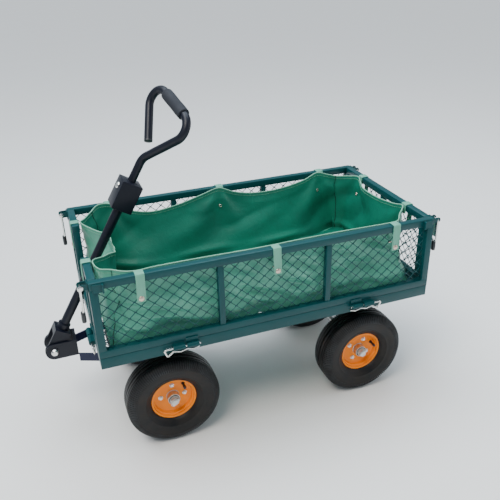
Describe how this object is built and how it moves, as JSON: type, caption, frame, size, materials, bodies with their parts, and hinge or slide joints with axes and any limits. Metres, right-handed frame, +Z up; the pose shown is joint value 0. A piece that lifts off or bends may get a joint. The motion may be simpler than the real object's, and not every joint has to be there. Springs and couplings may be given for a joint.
{
  "type": "garden cart",
  "caption": "Four-wheeled steel mesh garden cart with fold-down panels, coated fabric liner, steering front axle and pivoting loop pull handle.",
  "frame": {"origin": "on the ground under the centre of the bed", "axes": "+X towards the rear end along the bed, the pull handle is at -X; +Y to the cart's right side seen from the rear; +Z up"},
  "size_m": [1.095, 0.522, 0.9228],
  "materials": {
    "green_paint": "satin powder coat",
    "black_paint": "gloss powder coat",
    "zinc": "bright zinc plate",
    "latch_wire": "zinc wire with a black vinyl grip",
    "liner_fabric": "glossy coated woven sheet",
    "foam": "soft closed-cell foam",
    "black_plastic": "matt",
    "orange_paint": "gloss powder coat",
    "bearing_steel": "machined",
    "tyre": "moulded rubber"
  },
  "bodies": {
    "chassis": {"base_frame": "green_paint", "bed_mesh": "green_paint", "cross_members": "green_paint", "turntable_plate": "green_paint", "kingpin_bolt": "zinc", "rear_axle_stand": "black_paint", "rear_axle_rod": "zinc", "front_panel_frame": "green_paint", "front_panel_mesh": "green_paint", "base_hinge_barrels": "green_paint", "hinge_clips": "zinc", "liner": "liner_fabric", "front_straps": "liner_fabric", "front_latch_brackets": "green_paint"},
    "front_axle": {"front_axle_stand": "black_paint", "front_axle_rod": "zinc", "swivel_plate": "black_paint", "drawbar_arms": "black_paint", "drawbar_clevis": "black_paint", "pivot_bolt": "zinc"},
    "handle": {"handle_yoke": "black_paint", "lower_pole": "black_paint", "hitch_box": "black_paint", "upper_handle": "black_paint", "foam_grip": "foam", "handle_end_plug": "black_plastic", "hitch_bolt": "zinc"},
    "left_panel": {"left_panel_frame": "green_paint", "left_panel_mesh": "green_paint", "left_panel_fittings": "green_paint", "left_straps": "liner_fabric"},
    "right_panel": {"right_panel_frame": "green_paint", "right_panel_mesh": "green_paint", "right_panel_fittings": "green_paint", "right_straps": "liner_fabric"},
    "rear_panel": {"rear_panel_frame": "green_paint", "rear_panel_mesh": "green_paint", "rear_panel_fittings": "green_paint", "rear_straps": "liner_fabric"},
    "wheel_fl": {"tyre_fl": "tyre", "rim_fl": "orange_paint", "hub_fl": "bearing_steel", "rim_bolts_fl": "zinc"},
    "wheel_fr": {"tyre_fr": "tyre", "rim_fr": "orange_paint", "hub_fr": "bearing_steel", "rim_bolts_fr": "zinc"},
    "wheel_rl": {"tyre_rl": "tyre", "rim_rl": "orange_paint", "hub_rl": "bearing_steel", "rim_bolts_rl": "zinc"},
    "wheel_rr": {"tyre_rr": "tyre", "rim_rr": "orange_paint", "hub_rr": "bearing_steel", "rim_bolts_rr": "zinc"},
    "latch_fl": {"latch_front_left": "latch_wire"},
    "latch_fr": {"latch_front_right": "latch_wire"},
    "latch_rl": {"latch_rear_left": "latch_wire"},
    "latch_rr": {"latch_rear_right": "latch_wire"}
  },
  "joints": [
    {"name": "front_axle_steer", "type": "hinge", "parent": "chassis", "child": "front_axle", "pos_m": [-0.29, 0, 0.272], "axis": [0, 0, 1], "range_deg": [-22, 22]},
    {"name": "handle_pitch", "type": "hinge", "parent": "front_axle", "child": "handle", "pos_m": [-0.574, 0, 0.25], "axis": [0, -1, 0], "range_deg": [0, 125]},
    {"name": "wheel_fl_spin", "type": "hinge", "parent": "front_axle", "child": "wheel_fl", "pos_m": [-0.29, -0.182, 0.13], "axis": [0, 1, 0], "continuous": true},
    {"name": "wheel_fr_spin", "type": "hinge", "parent": "front_axle", "child": "wheel_fr", "pos_m": [-0.29, 0.182, 0.13], "axis": [0, 1, 0], "continuous": true},
    {"name": "wheel_rl_spin", "type": "hinge", "parent": "chassis", "child": "wheel_rl", "pos_m": [0.29, -0.182, 0.13], "axis": [0, 1, 0], "continuous": true},
    {"name": "wheel_rr_spin", "type": "hinge", "parent": "chassis", "child": "wheel_rr", "pos_m": [0.29, 0.182, 0.13], "axis": [0, 1, 0], "continuous": true},
    {"name": "left_panel_fold", "type": "hinge", "parent": "chassis", "child": "left_panel", "pos_m": [0, -0.254, 0.332], "axis": [1, 0, 0], "range_deg": [0, 180]},
    {"name": "right_panel_fold", "type": "hinge", "parent": "chassis", "child": "right_panel", "pos_m": [0, 0.254, 0.332], "axis": [-1, 0, 0], "range_deg": [0, 180]},
    {"name": "rear_panel_fold", "type": "hinge", "parent": "chassis", "child": "rear_panel", "pos_m": [0.479, 0, 0.332], "axis": [0, 1, 0], "range_deg": [0, 180]},
    {"name": "latch_front_left_swing", "type": "hinge", "parent": "chassis", "child": "latch_fl", "pos_m": [-0.488, -0.2275, 0.544], "axis": [0, 1, 0], "range_deg": [0, 150]},
    {"name": "latch_front_right_swing", "type": "hinge", "parent": "chassis", "child": "latch_fr", "pos_m": [-0.488, 0.2275, 0.544], "axis": [0, 1, 0], "range_deg": [0, 150]},
    {"name": "latch_rear_left_swing", "type": "hinge", "parent": "rear_panel", "child": "latch_rl", "pos_m": [0.488, -0.2275, 0.544], "axis": [0, -1, 0], "range_deg": [0, 150]},
    {"name": "latch_rear_right_swing", "type": "hinge", "parent": "rear_panel", "child": "latch_rr", "pos_m": [0.488, 0.2275, 0.544], "axis": [0, -1, 0], "range_deg": [0, 150]}
  ]
}
